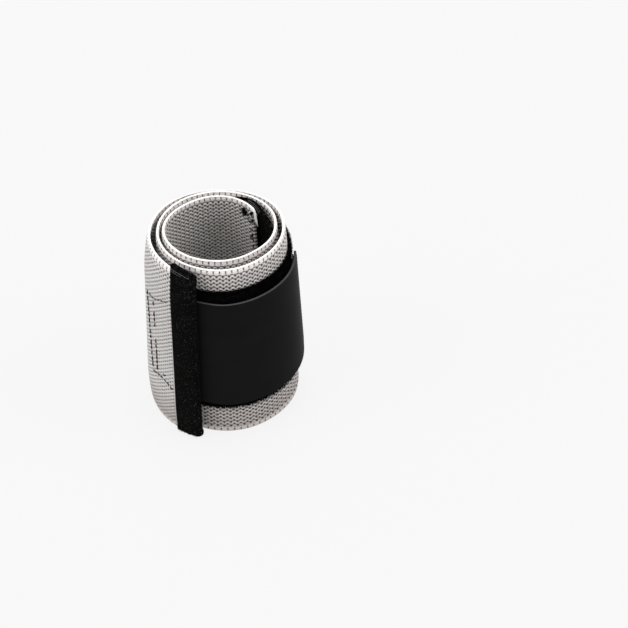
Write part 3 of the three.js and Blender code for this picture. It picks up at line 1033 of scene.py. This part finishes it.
# %% Stitches
def stitch_line(path, corners, out, seed, pitch, radius, lost):
    """Stitches along corners, each a (share, height) on a path, as arrays for strands().

    pitch is from stitch to stitch, and lost is the share of them that the cloth has swallowed.
    """
    random = np.random.default_rng(seed)
    share, height = np.array(corners, float).T
    ground = bend(path, share, height, np.zeros(share.shape))
    travelled = np.concatenate([[0], np.cumsum(np.linalg.norm(np.diff(ground, axis=0), axis=1))])
    starts = np.arange(0, travelled[-1] - pitch * 0.8, pitch)
    starts = starts[random.random(len(starts)) > lost]
    length = pitch * random.uniform(0.66, 0.96, len(starts))
    steps = np.linspace(0, 1, 5)
    along = starts[:, None] + length[:, None] * steps
    sway = random.normal(0, 0.09, along.shape)
    rise = out + math.copysign(1, out) * radius * (np.sin(np.pi * steps) * 1.1 - 0.2)
    stitch_share = np.interp(along, travelled, share)
    stitch_height = np.interp(along, travelled, height) + sway
    paths = bend(path, stitch_share, stitch_height, np.broadcast_to(rise, along.shape))
    return paths, np.broadcast_to(radius * np.array([0.6, 1, 1, 1, 0.6]), along.shape)


def on_band(*places):
    """Places (angle, height) on the band as the shares that its path takes."""
    return [((angle - INNER_END) / (OUTER_END - INNER_END), height) for angle, height in places]


def thread(name, lines, colour):
    paths, radii = (np.concatenate(arrays) for arrays in zip(*lines))
    made = strands(name, paths, radii, 6)
    material, tree = new_tree(name + "_polyester")
    marks = add(tree, "TexCoord").node.outputs["Object"]
    ply = add(tree, "TexNoise", {"Vector": marks, "Scale": 2500.0})
    bumped = add(tree, "Bump", {"Strength": 0.4, "Distance": 0.0001, "Height": ply})
    shade = add(tree, "BsdfPrincipled", {
        "Base Color": linear(colour), "Roughness": 0.7, "Normal": bumped,
        "Specular IOR Level": 0.2,
    })
    add(tree, "OutputMaterial", {"Surface": shade})
    dress(made, material)


outer_face = WEBBING_THICKNESS / 2
# Columns: corners of a line, pitch, thread radius, share lost
BOX_SEAM = [
    (on_band((920, 59.3), (922.5, 48), (925, 34), (927, 21.5)), 2.6, 0.27, 0.04),
    (on_band((930.5, 58), (932, 46), (933.5, 23.5)), 2.6, 0.27, 0.1),
    (on_band((920, 59.3), (930, 59.5), (950, 64)), 2.2, 0.2, 0.3),
    (on_band((927, 21.5), (936, 23), (944, 22), (951, 19)), 2, 0.24, 0.25),
    (on_band((936, 24.5), (947, 25)), 2, 0.24, 0.25),
]
thread("box_stitches", [stitch_line(band_path, line, outer_face, 30 + place, *size)
                        for place, (line, *size) in enumerate(BOX_SEAM)], "0d0d0e")
inner_seam = on_band((57, 66), (56.5, 40), (56.5, 8))
thread("inner_stitches", [stitch_line(band_path, inner_seam, -outer_face + 0.1, 40, 3.1, 0.27, 0.7)],
       "0d0d0e")
# Grey lines: the two on the cap are its seam. The two on the thumb tape's hem are a painted highlight
# of its fold, drawn as grey thread.
fine_lines = [
    stitch_line(cap_path, [(0.06, TAPE_TOP + 1.3), (0.94, TAPE_TOP + 0.25)], 1.66, 50, 1.3, 0.13, 0.0),
    stitch_line(cap_path, [(0.12, TAPE_TOP + 0.4), (0.88, TAPE_TOP - 0.5)], 1.78, 51, 1.3, 0.11, 0.1),
    stitch_line(hem_path, [(0.1, 78), (0.3, 78.5), (0.5, 78.9), (0.7, 79.15), (0.95, 79.3)], -0.6, 52,
                1.4, 0.12, 0.0),
    stitch_line(hem_path, [(0.1, 77.5), (0.3, 78), (0.5, 78.4), (0.7, 78.65), (0.95, 78.8)], -1.08, 53,
                1.4, 0.12, 0.0),
]
thread("cap_stitches_and_hem_highlight", fine_lines, "58585a")

# %% [markdown]
# The inner end of the band is cut. The white edge cord has come loose there and bends down, with
# finer yarns beside it, and a tangle of the seam's thread sits on the band's face. Both are loose
# strands that start at random around chosen spots, so that no two lie alike.

# %% Frayed inner end
def loose_yarn(name, colour):
    material, tree = new_tree(name)
    shade = add(tree, "BsdfPrincipled", {
        "Base Color": linear(colour), "Roughness": 0.85, "Specular IOR Level": 0.1,
    })
    add(tree, "OutputMaterial", {"Surface": shade})
    return material


def tangle(name, path, spots, out, seed, length, radius, lean, drift, colour):
    """Loose strands around spots, each (share, height, how many, spread in mm)."""
    random = np.random.default_rng(seed)
    shares, heights = [], []
    for share, height, count, spread in spots:
        shares.append(share + random.normal(0, spread / BAND_LENGTH, count))
        heights.append(height + random.normal(0, spread, count))
    share = np.clip(np.concatenate(shares), 0, 1)
    height = np.minimum(np.concatenate(heights), WEBBING_WIDTH - 2)
    made = fuzz(name, path, share, height, np.full(share.shape, float(out)), lean, seed + 1, length,
                radius, drift)
    dress(made, loose_yarn(name + "_polyester", colour))


knot_places = on_band((67, 74.3), (53.6, 76.8), (58.5, 71.5), (57.5, 67.8), (57, 64.2), (55, 62.7),
                      (53.4, 73))
knot_sizes = ((60, 0.95), (20, 0.4), (8, 0.35), (6, 0.3), (6, 0.3), (5, 0.3), (9, 0.5))
knots = [(*place, *size) for place, size in zip(knot_places, knot_sizes)]
tangle("thread_knots", band_path, knots, -outer_face, 61, (0.7, 1.7), 0.2, 0.0, 0.0, "0b0b0c")
frays = [(0.0012, height, 9, 0.3) for height in (78, 77.4, 76.6, 75.6, 74.4)]
tangle("frayed_yarns", band_path, frays, 0, 71, (1.4, 3), 0.2, -2.0, 0.3, "fbf9f7")

tip_angle = INNER_END + np.array([2, 0, -2, -4, -5.5])
tip_height = float(rim_height(INNER_END)) - np.array([0.3, 0.8, 2.4, 4.6, 6.8])
tip = np.column_stack([winding_point(tip_angle, tip_height, 0.0), tip_height]) + ORIGIN
parting = np.array([(0, 0, 0), (0.3, -0.3, -0.6), (-0.35, -0.2, 0.5)])
tip_paths = tip + parting[:, None] * np.linspace(0, 1, 5)[:, None]
tip_radii = np.broadcast_to([0.4, 0.5, 0.48, 0.36, 0.12], (3, 5))
cord_tip = strands("cord_tip", tip_paths, tip_radii, 6)
dress(cord_tip, loose_yarn("frayed_cord_polyester", "fdfcfb"))
